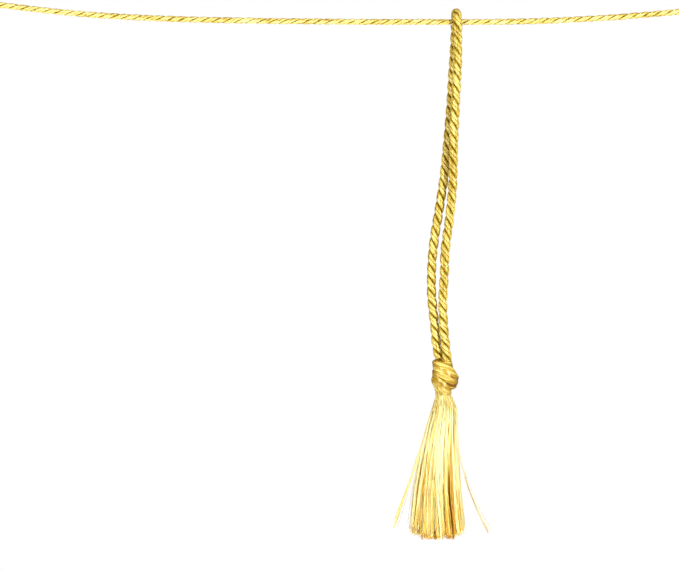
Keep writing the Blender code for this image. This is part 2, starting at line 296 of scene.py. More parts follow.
@dataclass
class Route:
    """A smooth centreline through points in mm, with a frame that turns no more than it must."""

    points_mm: Table
    spacing: float = 0.3 * MM
    steps: int = 24
    points: Array = field(init=False)
    along: Array = field(init=False)
    tangents: Array = field(init=False)
    side: Array = field(init=False)
    across: Array = field(init=False)

    def __post_init__(self) -> None:
        """Work out the even points and their frames."""
        knots = np.array([self.points_mm[0], *self.points_mm, self.points_mm[-1]], dtype=float) * MM
        fine = [knots[0]]
        for p0, p1, p2, p3 in zip(knots, knots[1:], knots[2:], knots[3:]):
            for t in np.linspace(0.0, 1.0, self.steps + 1)[1:]:
                linear = (p2 - p0) * t
                square = (2.0 * p0 - 5.0 * p1 + 4.0 * p2 - p3) * t**2
                cube = (-p0 + 3.0 * p1 - 3.0 * p2 + p3) * t**3
                fine.append(0.5 * (2.0 * p1 + linear + square + cube))
        fine = np.array(fine)
        reach = np.concatenate([[0.0], np.cumsum(np.linalg.norm(np.diff(fine, axis=0), axis=1))])
        even = np.linspace(0.0, reach[-1], round(reach[-1] / self.spacing) + 1)
        self.points = np.stack([np.interp(even, reach, fine[:, k]) for k in range(3)], axis=1)
        self.along = even
        tangents = np.gradient(self.points, axis=0)
        tangents /= np.linalg.norm(tangents, axis=1)[:, None]
        side = Vector(tangents[0]).orthogonal().normalized()
        sides, acrosses = [], []
        for index, tangent in enumerate(Vector(t) for t in tangents):
            if index:
                side = Vector(tangents[index - 1]).rotation_difference(tangent) @ side
            side = (side - tangent * side.dot(tangent)).normalized()
            sides.append(side)
            acrosses.append(tangent.cross(side))
        self.side = np.array(sides)
        self.across = np.array(acrosses)
        self.tangents = tangents

    @property
    def length(self) -> float:
        """Length of the centreline in metres."""
        return float(self.along[-1])

    def bend(self, straight: Array) -> Array:
        """Bend points of a straight piece, whose axis is Z, along the route.

        Args:
            straight: points as x, y and distance along.

        Returns:
            The points on the route, run on straight past its ends.
        """
        reach = np.clip(straight[:, 2], 0.0, self.length)
        past = straight[:, 2] - reach

        def read(table: Array) -> Array:
            """Read a table of vectors at the points' distances."""
            return np.stack([np.interp(reach, self.along, table[:, k]) for k in range(3)], axis=1)

        x, y = straight[:, 0:1], straight[:, 1:2]
        return (
            read(self.points) + read(self.side) * x + read(self.across) * y
            + read(self.tangents) * past[:, None]
        )


def coordinates(mesh: Mesh) -> Array:
    """Read a mesh's vertices as an array with a row for each."""
    flat = np.empty(len(mesh.vertices) * 3, dtype=np.float32)
    mesh.vertices.foreach_get("co", flat)
    return flat.reshape(-1, 3).astype(float)


def set_coordinates(mesh: Mesh, points: Array) -> None:
    """Move a mesh's vertices to the rows of an array."""
    mesh.vertices.foreach_set("co", points.astype(np.float32).ravel())
    mesh.update()


def write_shade(mesh: Mesh, shade: Array) -> None:
    """Store a shade from 0 to 1 for each vertex: tone with painted light and shade in it."""
    layer = mesh.attributes.new("shade", "FLOAT", "POINT")
    layer.data.foreach_set("value", shade.astype(np.float32))


def ramp(value: Array, start: float, width: float) -> Array:
    """Share of the way across a stretch, held from 0 to 1; it runs down if its width is negative."""
    return np.clip((value - start) / width, 0.0, 1.0)


def bell(value: Array, middle: float, width: float) -> Array:
    """Read a bell curve of height 1."""
    return np.exp(-((value - middle) / width) ** 2)


def smoothed(row: Array, half: int) -> Array:
    """Average each value of a row with its neighbours, so many on either side."""
    blur = np.ones(2 * half + 1) / (2 * half + 1)
    return np.convolve(np.pad(row, half, mode="edge"), blur, mode="valid")


def heading(angle: float) -> Array:
    """Turn an angle into a direction in the plane."""
    return np.array([math.cos(angle), math.sin(angle)])


def in_scene(name: str, data: ID) -> Object:
    """Put an object into the scene.

    Args:
        name: the object's name.
        data: its mesh, lamp or camera.

    Returns:
        The object, at the origin.
    """
    obj = bpy.data.objects.new(name, data)
    bpy.context.scene.collection.objects.link(obj)
    return obj


def finished(name: str, mesh: Mesh, material: Material) -> Object:
    """Make an object of a mesh, smooth and with its finish.

    Args:
        name: the object's name.
        mesh: the shape.
        material: its finish.

    Returns:
        The object, at the origin.
    """
    mesh.materials.clear()
    mesh.materials.append(material)
    mesh.shade_smooth()
    return in_scene(name, mesh)


def mesh_object(name: str, bm: BMesh, material: Material) -> Object:
    """Make an object of a bmesh, which is freed.

    Args:
        name: the object's name.
        bm: the shape.
        material: its finish.

    Returns:
        The object, at the origin.
    """
    mesh = bpy.data.meshes.new(name)
    bm.to_mesh(mesh)
    bm.free()
    return finished(name, mesh, material)


def hand_in(obj: Object, node: str) -> Object:
    """Let a piece ride on the part and stand for a CAD node.

    Args:
        obj: the piece.
        node: the CAD node that it replaces.

    Returns:
        The piece.
    """
    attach(obj, "root")
    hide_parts(node)
    triangles = sum(len(face.vertices) - 2 for face in obj.data.polygons)
    LOG.info("%s: %d triangles", obj.name, triangles)
    return obj


def lathed(profile: Sequence[tuple[float, float]], sectors: int) -> BMesh:
    """Spin a profile of (radius, height) that starts and ends on the axis.

    Args:
        profile: points from the upper pole to the lower one.
        sectors: how many faces go round.

    Returns:
        The closed shape.
    """
    bm = bmesh.new()
    verts = [bm.verts.new((radius, 0.0, height)) for radius, height in profile]
    edges = [bm.edges.new(pair) for pair in zip(verts, verts[1:])]
    bmesh.ops.spin(
        bm, geom=[*verts, *edges], cent=(0, 0, 0), axis=(0, 0, 1), angle=2.0 * math.pi,
        steps=sectors, use_merge=True,
    )
    bmesh.ops.remove_doubles(bm, verts=bm.verts, dist=1e-7)
    bmesh.ops.recalc_face_normals(bm, faces=bm.faces)
    return bm


class FibreTubes:
    """Lays fibres as lines and gives them their thickness by Geometry Nodes."""

    def __init__(self, sides: int) -> None:
        """Build the node tool that turns lines into closed tubes.

        Args:
            sides: how many faces go round a fibre.
        """
        tree = bpy.data.node_groups.new("fibre_tubes", "GeometryNodeTree")
        for way in ("INPUT", "OUTPUT"):
            tree.interface.new_socket("Geometry", in_out=way, socket_type="NodeSocketGeometry")
        start, end = tree.nodes.new("NodeGroupInput"), tree.nodes.new("NodeGroupOutput")
        lines = add_node(tree, "GeometryNodeMeshToCurve", {"Mesh": start.outputs[0]})
        ring = add_node(tree, "GeometryNodeCurvePrimitiveCircle", {"Resolution": sides, "Radius": 1.0})
        thick = add_node(tree, "GeometryNodeInputNamedAttribute", {"Name": "thick"}, data_type="FLOAT")
        shape = {"Curve": lines.outputs[0], "Profile Curve": ring.outputs["Curve"], "Fill Caps": True}
        tubes = add_node(tree, "GeometryNodeCurveToMesh", {**shape, "Scale": thick.outputs["Attribute"]})
        tree.links.new(tubes.outputs[0], end.inputs[0])
        self.tree = tree

    def lay(
        self, name: str, lines: Array, radii: Array, shades: Array,
        material: Material,
    ) -> Object:
        """Make one piece of many fibres.

        Args:
            name: the piece's name.
            lines: points as fibre, step and coordinate.
            radii: radius at each fibre's steps.
            shades: shade at each fibre's steps.
            material: the finish.

        Returns:
            The piece, its tubes closed at both ends.
        """
        bm = bmesh.new()
        thick = bm.verts.layers.float.new("thick")
        shade = bm.verts.layers.float.new("shade")
        rows = [[bm.verts.new(point) for point in lines[:, 0]]]
        for _ in range(1, lines.shape[1]):
            rows.append(bmesh.ops.extrude_vert_indiv(bm, verts=rows[-1])["verts"])
        for step, row in enumerate(rows):
            for fibre, vert in enumerate(row):
                vert.co = lines[fibre, step]
                vert[thick] = radii[fibre, step]
                vert[shade] = shades[fibre, step]
        source = mesh_object(name + "_lines", bm, material)
        source.modifiers.new("fibre_tubes", "NODES").node_group = self.tree
        depsgraph = bpy.context.evaluated_depsgraph_get()
        mesh = bpy.data.meshes.new_from_object(source.evaluated_get(depsgraph), depsgraph=depsgraph)
        mesh.name = name
        bpy.data.objects.remove(source, do_unlink=True)
        return finished(name, mesh, material)


# The cords

# Reach of a ply's outer face from the cord's axis: degrees from the ply's middle, share of the radius
PLY_PROFILE = (
    (0.0, 1.0), (20.0, 0.995), (35.0, 0.975), (50.0, 0.93), (62.0, 0.865), (74.0, 0.75), (87.0, 0.50),
)
# The flat face where a ply lies on the other: its points and its place, as a share of the radius
FLAT_POINTS = 5
FLAT_PLACE = 0.012
# A ply's turn round the cord in one pitch: both cords wind left-handed
WIND = -math.tau


def drift(reach: Array, waves: float, seed: tuple[float, float]) -> Array:
    """Read smooth noise along a cord, so many waves to a metre."""
    return np.array([noise.noise(Vector((at * waves, *seed))) for at in reach])


@dataclass
class TwistedCord:
    """A cord of two silk plies wound round each other along a route."""

    name: str
    node: str
    slot: str
    route_mm: Table
    diameter: float
    pitch: float
    run_in: float
    finish: SilkFinish
    steps_per_pitch: int = 22
    ply_points: int = 30
    groove: float = 0.52
    unevenness: float = 0.025
    # Waves to a metre
    swells: float = 260.0
    sways: float = 90.0
    fold: float = 0.08
    fold_place: float = 0.10
    fold_width: float = 0.17
    # Shade of the outer silk, what swells add to it, and the painted shade that folds take from it
    tone: float = 0.72
    swell_tone: float = 0.10
    fold_painted_shade: float = 0.50
    route: Route = field(init=False)

    def __post_init__(self) -> None:
        """Lay out the route."""
        self.route = Route(self.route_mm)

    def ply_outline(self) -> list[tuple[float, float]]:
        """Section of one ply: rounded outside, flat where it lies on the other.

        Returns:
            Points as shares of the cord's radius.
        """
        outer, edge = self.ply_points - FLAT_POINTS, PLY_PROFILE[-1][0]
        outline = []
        for index in range(outer):
            degrees = -edge + 2.0 * edge * index / (outer - 1)
            radius = float(np.interp(abs(degrees), *zip(*PLY_PROFILE)))
            x, y = radius * heading(math.radians(degrees))
            outline.append((x, y))
        top = outline[-1][1] * 0.98
        for index in range(1, FLAT_POINTS + 1):
            outline.append((FLAT_PLACE, top * (1.0 - 2.0 * index / (FLAT_POINTS + 1))))
        return outline

    def straight(self) -> BMesh:
        """Spin both plies up a straight axis, a pitch of them, and repeat that to the cord's length.

        Returns:
            The plies, closed at their ends.
        """
        bm = bmesh.new()
        lay = bm.verts.layers.float_vector.new("lay")
        radius, start = self.diameter / 2.0, WIND * -self.run_in / self.pitch
        for turn in (start, start + math.pi):
            ring = bmesh.ops.create_circle(bm, cap_ends=False, segments=self.ply_points, radius=1.0)["verts"]
            across, aside = radius * heading(turn), radius * heading(turn + math.pi / 2.0)
            for vert, (x, y) in zip(ring, self.ply_outline()):
                vert.co = (*(x * across + y * aside), -self.run_in)
            edges = list(dict.fromkeys(edge for vert in ring for edge in vert.link_edges))
            bmesh.ops.spin(
                bm, geom=edges, cent=(0, 0, 0), axis=(0, 0, 1), angle=WIND,
                dvec=(0, 0, self.pitch / self.steps_per_pitch), steps=self.steps_per_pitch,
            )
        length = self.route.length + 2.0 * self.run_in
        reach = self.pitch
        while reach < length:
            copy = bmesh.ops.duplicate(bm, geom=[*bm.verts, *bm.edges, *bm.faces])["geom"]
            moved = [item for item in copy if isinstance(item, BMVert)]
            bmesh.ops.translate(bm, verts=moved, vec=(0.0, 0.0, reach))
            reach *= 2.0
        bmesh.ops.remove_doubles(bm, verts=bm.verts, dist=1e-6)
        bmesh.ops.bisect_plane(
            bm, geom=[*bm.verts, *bm.edges, *bm.faces], plane_co=(0.0, 0.0, length - self.run_in),
            plane_no=(0.0, 0.0, 1.0), clear_outer=True,
        )
        bmesh.ops.holes_fill(bm, edges=[edge for edge in bm.edges if edge.is_boundary], sides=0)
        bmesh.ops.recalc_face_normals(bm, faces=bm.faces)
        for vert in bm.verts:
            vert[lay] = vert.co
        return bm

    def build(self) -> Object:
        """Model the cord, let it ride on the part and stand for its CAD node.

        Returns:
            The cord's piece.
        """
        obj = mesh_object(self.name, self.straight(), self.finish.material())
        points = coordinates(obj.data)
        reach = points[:, 2]
        radial = np.hypot(points[:, 0], points[:, 1]) / (self.diameter / 2.0)
        angle = np.arctan2(points[:, 1], points[:, 0]) - WIND * reach / self.pitch
        half = np.cos(angle)
        # Each ply is two yarns, which meet in a fold along its middle
        aside = np.arctan2(np.sin(angle) * np.sign(half), np.abs(half))
        folded = bell(aside, self.fold_place, self.fold_width) * (radial > self.groove)
        ply_swells = [drift(reach, self.swells, seed) for seed in ((7.3, 0.0), (31.7, 0.0))]
        swell = np.where(half > 0.0, *ply_swells)
        sway = np.stack([drift(reach, self.sways, seed) for seed in ((3.1, 0.0), (0.0, 8.7))], axis=1)
        points[:, :2] *= (1.0 + self.unevenness * 2.0 * swell - self.fold * folded)[:, None]
        points[:, :2] += sway * self.diameter * self.unevenness
        # Painted shade: each ply darkens towards the groove where it meets the other ply, and along the fold
        # between its yarns
        groove_shading = ramp(radial, self.groove, 1.0 - self.groove) ** 0.8
        write_shade(obj.data, self.tone * groove_shading + self.swell_tone * swell - self.fold_painted_shade * folded)
        set_coordinates(obj.data, self.route.bend(points))
        return hand_in(obj, self.node)

    def declared_path(self) -> list[list[float]]:
        """Points of the centreline, close together."""
        reach = np.linspace(-self.run_in, self.route.length + self.run_in, 240)
        return self.route.bend(np.stack([reach * 0.0, reach * 0.0, reach], axis=1)).tolist()


# The knots

# Where the drawn strand is pinched, in turns past the front, and how hard
PINCHES = ((-0.25, 0.25), (0.25, 1.0), (0.75, 0.25), (1.25, 0.8))
PINCH_WIDTH = 0.12
# How many points of a knot are worked on at a time
BATCH = 400


def facing(turns: Array | float) -> Array | float:
    """Direction round a knot's axis at so many turns past its front."""
    return math.tau * turns - math.pi / 2.0


def wobble(rng: np.random.Generator, at: Array, slow: float, fast: float) -> Array:
    """Read a sine wave of random rate and phase."""
    return np.sin(at * rng.uniform(slow, fast) + rng.uniform(0.0, 6.3))


def rounded(wave: Array, power: float) -> Array:
    """Fill out a sine or cosine towards a square wave."""
    return np.sign(wave) * np.abs(wave) ** power


@dataclass
class WoundKnot:
    """A knot whose silk winds down round a core, drawn tight."""

    name: str
    node: str
    slot: str
    centre: Vector
    up: Vector
    right: Vector
    wraps: Table
    core: Table
    finish: SilkFinish
    fibre_radius: float
    fibres: int
    fibre_finish: SilkFinish
    spread: float = 1.28
    fullness: float = 0.64
    shoulder: float = 1.1
    foot: float = 0.0
    rings: int = 170
    sectors: int = 240
    samples: int = 300
    margin: float = 0.3
    fibre_margin: float = 0.35
    lay_turns: float = 0.15
    steps_per_turn: int = 44
    run_steps: int = 26
    # Shade of the turns, and the painted shade taken from it where they are pressed, creased and tucked
    # under, and near the bottom
    tone: float = 0.60
    pressed_painted_shade: float = 0.22
    crease_painted_shade: float = 5.0
    tucked_painted_shade: float = 0.70
    low_painted_shade: float = 0.20
    low_shade_height: float = 2.4
    seed: int = 3

    @property
    def ends(self) -> tuple[float, float]:
        """Heights of the form's upper and lower ends, in mm."""
        return self.core[0][0] - self.margin, self.core[-1][0] + self.margin

    def column(self, rows: Table, index: int, at: Array | float) -> Array:
        """Read a column of a table between its rows, by its first column."""
        table = sorted(rows)
        return np.interp(at, [row[0] for row in table], [row[index] for row in table])

    def placed(self, local: Array) -> Array:
        """Turn points in mm about the knot's own axes into places.

        Args:
            local: points as right, ahead and up, in mm.

        Returns:
            The places in metres.
        """
        axes = np.array([self.right, self.up.cross(self.right), self.up])
        shape = local.shape
        return (np.array(self.centre) + local.reshape(-1, 3) @ axes * MM).reshape(shape)

    def round_core(self, reach: Array, thetas: Array, levels: Array) -> Array:
        """Set points round the core's middle, in mm, by their reach, direction and height."""
        middle = self.column(self.core, 1, levels)
        return np.stack([reach * np.cos(thetas) + middle, reach * np.sin(thetas), levels], axis=1)

    def strand(self, steps: int) -> tuple[Array, Array, Array, Array]:
        """Read the strand at even steps, the corners of its table rounded off.

        Args:
            steps: how many steps.

        Returns:
            Turn, height, reach of its middle and thickness at each step.
        """
        turns = np.linspace(self.wraps[0][0], self.wraps[-1][0], steps)
        half = max(steps // 28, 1)
        return turns, *(smoothed(self.column(self.wraps, index, turns), half) for index in (1, 2, 3))

    def form(self, levels: Array, thetas: Array) -> tuple[Array, Array, Array]:
        """Find the outer face of the turns and the core.

        Args:
            levels: heights from the knot's centre, in mm.
            thetas: direction round the axis, one for each height.

        Returns:
            Reach from the axis in mm, the turn that shows there and its share of the strand's half height.
        """
        turns, height, out, thick = self.strand(self.samples)
        angle = facing(turns)
        nearest = out * np.cos(thetas[:, None] - angle)
        power = 2.0 / self.fullness
        aside = np.clip((levels[:, None] - height) / (self.spread * thick), -1.0, 1.0)
        wide = thick * (1.0 - np.abs(aside) ** power) ** (1.0 / power)
        slack = wide**2 - out**2 + nearest**2
        reach = np.where((wide > 0.0) & (slack > 0.0), nearest + np.sqrt(np.maximum(slack, 0.0)), 0.0)
        best = reach.argmax(axis=1)
        pick = np.arange(len(levels))
        core = self.column(self.core, 2, levels)
        return np.maximum(reach[pick, best], core), turns[best], aside[pick, best]

    def rounding(self, levels: Array) -> Array:
        """Draw the form in towards its upper and lower ends.

        Args:
            levels: heights from the knot's centre, in mm.

        Returns:
            Share of the reach that is left.
        """
        top, bottom = self.ends
        over = 1.0 - ramp(levels, top, -self.shoulder)
        if self.foot:
            over = np.maximum(over, 1.0 - ramp(levels, bottom, self.foot))
        return np.sqrt(1.0 - 0.75 * over**2)

    def crease(self, aside: Array, turns: Array) -> Array:
        """Depth that the silk's own creases press into a turn, deepest where it is pinched.

        Args:
            aside: share of the strand's half height.
            turns: turns past the front crossing.

        Returns:
            Depth as a share of the strand's thickness.
        """
        pinched = sum(force * bell(turns, at, PINCH_WIDTH) for at, force in PINCHES)
        # Folds run along the strand and bend with it, broad ones and small ones
        bent = aside + 0.25 * np.sin(turns * 5.0 + self.seed) + 0.10 * np.sin(turns * 17.0)
        broad = 0.5 + 0.5 * np.sin(bent * 9.0 + self.seed)
        small = 0.5 + 0.5 * np.sin(bent * 31.0 + self.seed * 2.0 + 2.0 * np.sin(turns * 9.0))
        return (0.014 + 0.095 * pinched) * broad**4 + (0.012 + 0.040 * pinched) * small**2

    def heart(self) -> Object:
        """Model the drawn turns as one closed form, creased where the silk is pinched.

        Returns:
            The piece.
        """
        top, bottom = self.ends
        rings = [(1.0, level) for level in np.linspace(top, bottom, self.rings)]
        bm = lathed([(0.0, top), *rings, (0.0, bottom)], self.sectors)
        obj = mesh_object(self.name + "_heart", bm, self.finish.material())
        points = coordinates(obj.data)
        thetas, levels = np.arctan2(points[:, 1], points[:, 0]), points[:, 2]
        parts = np.array_split(np.arange(len(points)), max(len(points) // BATCH, 1))
        forms = [self.form(levels[part], thetas[part]) for part in parts]
        reach, turns, aside = (np.concatenate(rows) for rows in zip(*forms))
        crease = self.crease(aside, turns)
        reach = (reach - crease * self.column(self.wraps, 3, turns)) * self.rounding(levels)
        reach[np.hypot(points[:, 0], points[:, 1]) < 0.5] = 0.0
        set_coordinates(obj.data, self.placed(self.round_core(reach, thetas, levels)))
        # Painted shade: the turns darken where they press on each other, in their creases, where the strand
        # tucks under at its edges and near the knot's bottom
        pressed = bell(turns, -0.22, 0.10) + bell(turns, 0.27, 0.07)
        low = 1.0 - ramp(levels, bottom, self.low_shade_height)
        tone = self.tone - self.pressed_painted_shade * pressed - self.crease_painted_shade * crease
        write_shade(obj.data, tone - self.tucked_painted_shade * np.abs(aside) ** 10 - self.low_painted_shade * low)
        across, along = aside * self.wraps[0][3], turns * math.tau * self.core[0][2]
        lay = np.stack([across, reach * 0.0, along], axis=1) * MM
        obj.data.attributes.new("lay", "FLOAT_VECTOR", "POINT").data.foreach_set("vector", lay.ravel())
        return hand_in(obj, self.node)

    def turns(self, tubes: FibreTubes) -> Object:
        """Lay the loosest fibres of the knot's turns over its form.

        Args:
            tubes: the tool that thickens fibres.

        Returns:
            The piece.
        """
        rng = np.random.default_rng(self.seed)
        steps = round((self.wraps[-1][0] - self.wraps[0][0]) * self.steps_per_turn)
        turns, height, out, thick = self.strand(steps)
        low, high = self.core[-1][0] + self.fibre_margin, self.core[0][0] - self.fibre_margin
        lines, shades = [], []
        for fibre in range(self.fibres):
            share = (fibre + rng.uniform(0.0, 1.0)) / self.fibres
            around = math.radians(-85.0 + 170.0 * share) + self.lay_turns * math.pi * (turns - 0.2)
            around = around + 0.10 * wobble(rng, turns, 5.0, 11.0)
            aside = rounded(np.sin(around), self.fullness)
            crease = self.crease(aside, turns)
            depth = 1.0 - crease + rng.normal(-0.02, 0.012) + 0.015 * wobble(rng, turns, 4.0, 14.0)
            reach = out + thick * depth * rounded(np.cos(around), self.fullness)
            lift = np.clip(height + thick * self.spread * depth * aside, low, high)
            lines.append(self.round_core(reach * self.rounding(lift), facing(turns), lift))
            # Painted shade: fibres darken in the creases
            shades.append(rng.normal(self.tone, 0.16) - 3.0 * crease)
        lines = self.placed(np.array(lines))
        radii = np.full(lines.shape[:2], self.fibre_radius)
        obj = tubes.lay(self.name, lines, radii, np.array(shades), self.fibre_finish.material())
        return hand_in(obj, self.node)

    def run_out(
        self, tubes: FibreTubes, below: Callable[[float, float], float], count: int
    ) -> Object:
        """Lay the fibres that leave the last turn and run down over the neck.

        Args:
            tubes: the tool that thickens fibres.
            below: reach of what lies under the knot, in mm from the knot's axis, at a height and direction.
            count: how many fibres.

        Returns:
            The piece.
        """
        rng = np.random.default_rng(self.seed + 1)
        share = np.linspace(0.0, 1.0, self.run_steps)
        bottom = self.core[-1][0]
        lines, shades, radii = [], [], []
        for _ in range(count):
            turn = rng.uniform(0.55, 1.55)
            theta = facing(turn) + rng.uniform(0.5, 1.1) * (1.0 - (1.0 - share) ** 2.2)
            top = float(self.column(self.wraps, 1, turn)) - rng.uniform(0.2, 1.9)
            end = bottom - rng.uniform(0.5, 8.0)
            level = top + (end - top) * share**1.35
            under = np.array([below(z, t) for z, t in zip(level, theta)])
            reach = smoothed(np.where(level > bottom, self.form(level, theta)[0], under), 2)
            reach = reach + rng.uniform(-0.02, 0.14) - 0.25 * share**6
            lines.append(self.round_core(reach, theta, level))
            shades.append(rng.normal(0.48, 0.14) + 0.42 * share)
            radii.append(self.fibre_radius * (1.0 - 0.35 * share))
        obj = tubes.lay(
            self.name + "_run_out", self.placed(np.array(lines)), np.array(radii), np.array(shades),
            self.fibre_finish.material(),
        )
        return hand_in(obj, self.node)


# The skirt

# Clumps that the locks draw together into: spot on the unit disc, how far above the skirt's end it
# is cut, in mm, and how much paler than the rest it is, which is partly random tone and partly a
# painted highlight on the pale outer clumps at the front and left. The first, at the left, flares out
CLUMPS = (
    (-0.82, -0.42, 3.6, 0.30), (-0.42, -0.80, 0.9, 0.10), (0.12, -0.93, 0.6, 0.12), (0.80, -0.48, 1.6, 0.04),
    (0.93, 0.12, 2.2, 0.0), (-0.96, 0.10, 1.2, 0.20), (-0.48, -0.22, 0.3, -0.05), (0.02, -0.42, 1.2, 0.0),
    (0.45, -0.22, 0.4, -0.08), (-0.62, 0.62, 2.0, 0.0), (-0.12, 0.90, 0.8, 0.08), (0.45, 0.78, 1.8, -0.02),
    (0.86, 0.52, 0.7, 0.06), (-0.15, 0.25, 0.1, -0.05), (0.40, 0.30, 1.4, -0.05),
)
# Locks that stray from the rim: degrees round the skirt's axis, reach of the tip from it and its
# height in mm
STRAYS = (
    (200.0, 12.7, -147.0), (12.6, 14.2, -151.0), (157.4, 13.0, -150.0), (60.4, 11.0, -148.5),
    (287.9, 9.1, -151.5),
)


@dataclass
class Skirt:
    """The loose silk below the knot: filaments in locks, locks in clumps."""

    node: str = "skirt"
    slot: str = "skirt_silk"
    finish: SilkFinish = SKIRT_SILK
    outline_mm: Table = (
        (-106.5, -3.60, 1.60, 1.60), (-109.5, -3.75, 2.15, 2.10), (-110.9, -3.70, 2.40, 2.25),
        (-112.3, -3.40, 3.05, 2.85), (-114.5, -3.50, 3.95, 3.60), (-117.4, -4.05, 4.45, 4.05),
        (-122.0, -4.60, 5.20, 4.70), (-126.8, -5.10, 5.90, 5.20), (-138.0, -5.60, 7.10, 6.10),
        (-149.8, -5.30, 8.10, 6.90), (-153.1, -5.10, 8.30, 7.00),
    )
    locks: int = 230
    filaments: int = 23
    strands: int = 4
    filament_radius: float = 0.066 * MM
    top: float = -107.2 * MM
    throat: float = -121.0 * MM
    end: float = -153.1 * MM
    lock_uneven: float = 1.7 * MM
    filament_uneven: float = 1.5 * MM
    draw_in: float = 0.32
    draw_late: float = 1.25
    flare: float = 1.17
    flare_room: float = 0.16
    heart: float = 0.56
    between_width: float = 0.10
    # Reaches and sizes of strands and locks on the unit disc
    strand_reach: float = 0.38
    root_reach: float = 0.070
    lock_wide: float = 0.058
    lock_thick: float = 0.028
    gathered: float = 0.35
    outliers: float = 0.14
    outlier_reach: float = 0.13
    # Shades, from 0 for the deepest tone to 1 for the palest
    tone: float = 0.66
    stray_tone: float = 0.74
    strand_tones: float = 0.25
    neck_tone_and_shade: float = 0.30
    least_tone: float = 0.12
    seed: int = 11
    steps: int = 17
    crimp: float = 0.16 * MM
    table: Array = field(init=False)
    rng: np.random.Generator = field(init=False)
    share: Array = field(init=False)

    def __post_init__(self) -> None:
        """Round off the outline's table, from its lower end up, and start the dice."""
        rows = np.array(sorted(self.outline_mm)) * MM
        heights = np.linspace(rows[0, 0], rows[-1, 0], 240)
        smooth = [smoothed(np.interp(heights, rows[:, 0], rows[:, k]), 8) for k in (1, 2, 3)]
        self.table = np.stack([heights, *smooth], axis=1)
        self.rng = np.random.default_rng(self.seed)
        # Steps crowd near the neck, where the silk still holds the knot's crimp
        self.share = np.linspace(0.0, 1.0, self.steps) ** 1.25

    def outline(self, heights: Array | float) -> list[Array]:
        """Read the skirt's centre, half width and half depth at heights in metres."""
        return [np.interp(heights, self.table[:, 0], self.table[:, k]) for k in (1, 2, 3)]

    def in_skirt(self, spots: Array, heights: Array) -> Array:
        """Place spots of the unit disc in the skirt at their heights.

        Args:
            spots: x and y on the unit disc.
            heights: height of each spot.

        Returns:
            The places.
        """
        centre, wide, deep = self.outline(heights)
        return np.stack([centre + spots[..., 0] * wide, spots[..., 1] * deep, heights], axis=-1)

    def sunflower(self, turn: float) -> Array:
        """Spread a spot for each lock evenly over the unit disc.

        Args:
            turn: angle of the first spot.

        Returns:
            The spots, a row for each.
        """
        index = np.arange(self.locks)
        reach = np.sqrt((index + 0.5) / self.locks)
        angle = index * math.pi * (3.0 - math.sqrt(5.0)) + turn
        return np.stack([reach * np.cos(angle), reach * np.sin(angle)], axis=1)

    def lock(
        self, root: Array, target: Array, bow: Array, tip_height: float, tone: float,
        filaments: int, between: float = 0.0, held: bool = True,
    ) -> tuple[Array, Array, Array]:
        """Lay one lock's filaments.

        Args:
            root: its spot on the unit disc at the throat.
            target: its spot at the tip.
            bow: how far it bows on the way.
            tip_height: height of its tip.
            tone: its shade.
            filaments: how many filaments it has.
            between: how far it lies between two clumps, from 0 to 1.
            held: whether it stays inside the skirt's outline.

        Returns:
            Places, shades and radii, with a row for each filament.
        """
        rng, share = self.rng, self.share
        crimp_way = rng.normal(0.0, 1.0, 2)
        crimp_way /= np.linalg.norm(crimp_way)
        crimp_phase, crimp_wave = rng.uniform(0.0, 6.3), rng.uniform(5.0, 8.0) * MM
        flat = heading(rng.uniform(0.0, math.pi))
        cross = np.array([-flat[1], flat[0]])
        lines, shades, radii = [], [], []
        width = rng.uniform(0.8, 1.6)
        strand_spots = rng.uniform(-0.75, 0.75, (self.strands, 2))
        strand_tones = rng.normal(0.0, self.strand_tones, self.strands)
        gather = ramp(share, 0.0, self.gathered)[:, None]
        open_out = ramp(share, self.gathered, 1.0 - self.gathered)[:, None]
        for filament in range(filaments):
            strand = filament % self.strands
            radius, turn = math.sqrt(rng.uniform()), rng.uniform(0.0, math.tau)
            offset = strand_spots[strand] + self.strand_reach * radius * heading(turn)
            lock_spot = (flat * offset[0] * self.lock_wide + cross * offset[1] * self.lock_thick) * width
            tip_spot = lock_spot * rng.uniform(0.8, 1.7)
            if rng.uniform() < self.outliers:
                tip_spot = tip_spot + rng.normal(0.0, self.outlier_reach, 2)
            wander = rng.normal(0.0, 0.010, (2, 2))
            tip = tip_height + rng.uniform(0.0, self.filament_uneven)
            heights = self.top + (tip - self.top) * share
            parted = ramp(heights, self.throat, tip - self.throat)
            middle = root + (target - root) * (parted**self.draw_late)[:, None]
            middle = middle + bow * np.sin(math.pi * parted)[:, None]
            spread = offset * self.root_reach * (1.0 - gather) + lock_spot * gather * (1.0 - open_out)
            spots = middle + spread + tip_spot * gather * open_out
            for waves, reach in enumerate(wander, start=1):
                spots = spots + reach * np.sin(waves * math.tau * parted)[:, None]
            if held:
                limit = 1.0 + self.flare_room * parted**2 * (target[0] < -0.6)
                spots = spots / np.maximum(np.linalg.norm(spots, axis=1) / limit, 1.0)[:, None]
            # Painted shade: filaments deep inside the skirt, and between two clumps once they part, are
            # darker
            buried_painted_shade = 1.9 * np.clip(0.84 - np.linalg.norm(spots, axis=1), 0.0, 0.4)
            buried_painted_shade = buried_painted_shade + 0.40 * between * ramp(parted, 0.20, 0.35)
            places = self.in_skirt(spots, heights)
            below = self.top - heights
            fade = np.exp(-below / (16.0 * MM)) * ramp(below, 0.0, 4.0 * MM)
            phase = math.tau * below / crimp_wave + crimp_phase + rng.normal(0.0, 0.25)
            places[:, :2] += (self.crimp * fade * np.sin(phase))[:, None] * crimp_way
            lines.append(places)
            # Painted light: the upper part of the skirt is paler. Every filament also darkens towards its
            # tip
            upper = 0.22 * bell(parted, 0.12, 0.22)
            shade = tone + strand_tones[strand] + rng.normal(0.0, 0.07) + upper
            shade = shade - 1.2 * buried_painted_shade * (1.0 - 0.5 * share**4) - 0.16 * share**4
